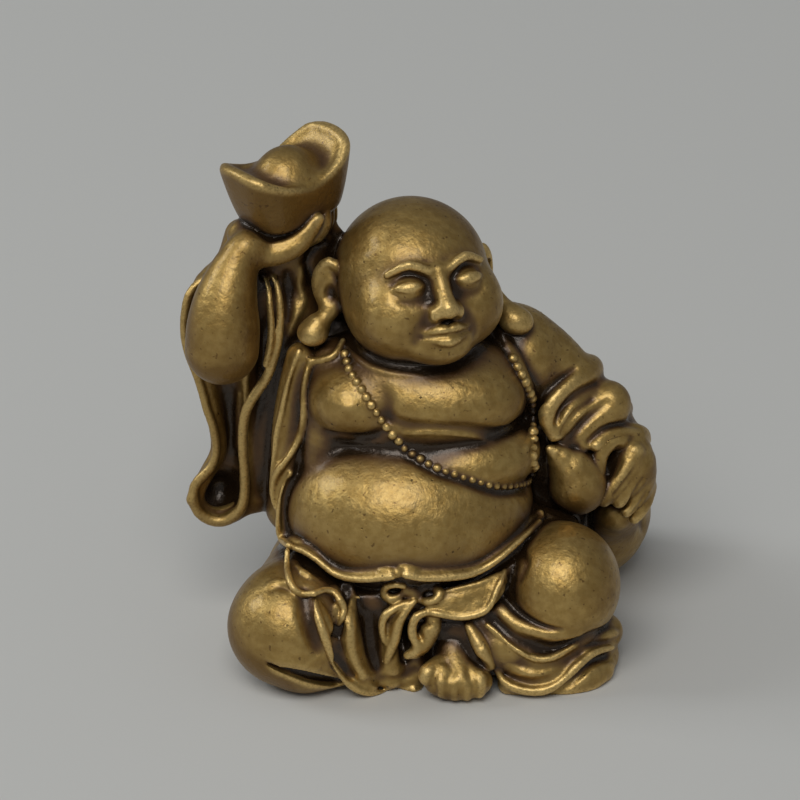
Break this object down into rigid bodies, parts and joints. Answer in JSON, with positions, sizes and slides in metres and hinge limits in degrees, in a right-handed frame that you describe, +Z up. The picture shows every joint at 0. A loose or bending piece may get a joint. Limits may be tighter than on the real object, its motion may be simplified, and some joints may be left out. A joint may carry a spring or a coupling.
{
  "type": "laughing buddha figurine",
  "caption": "Seated pot-bellied laughing figure in a loose robe, one arm raised to hold a boat-shaped ingot overhead.",
  "frame": {"origin": "centre of the bounding box in plan, on the floor that the figure rests on", "axes": "+Z up, -Y the way the figure faces, +X towards the figure's own left"},
  "size_m": [0.0638, 0.0504, 0.0696],
  "materials": {
    "figure": "cast resin under satin antique-bronze paint with a dark wash in the hollows"
  },
  "bodies": {
    "root": {"torso": "figure", "head": "figure", "right_ear": "figure", "left_ear": "figure", "bead_necklace": "figure", "robe": "figure", "right_lapel": "figure", "left_lapel": "figure", "raised_sleeve": "figure", "raised_forearm": "figure", "raised_hand": "figure", "ingot": "figure", "left_sleeve": "figure", "left_hand": "figure", "peach": "figure", "sack": "figure", "right_leg": "figure", "left_leg": "figure", "left_trouser_hem": "figure", "left_foot": "figure", "waistband": "figure", "sash_knot": "figure", "right_sash_flap": "figure", "left_sash_flap": "figure", "lap_drape": "figure"}
  },
  "joints": []
}
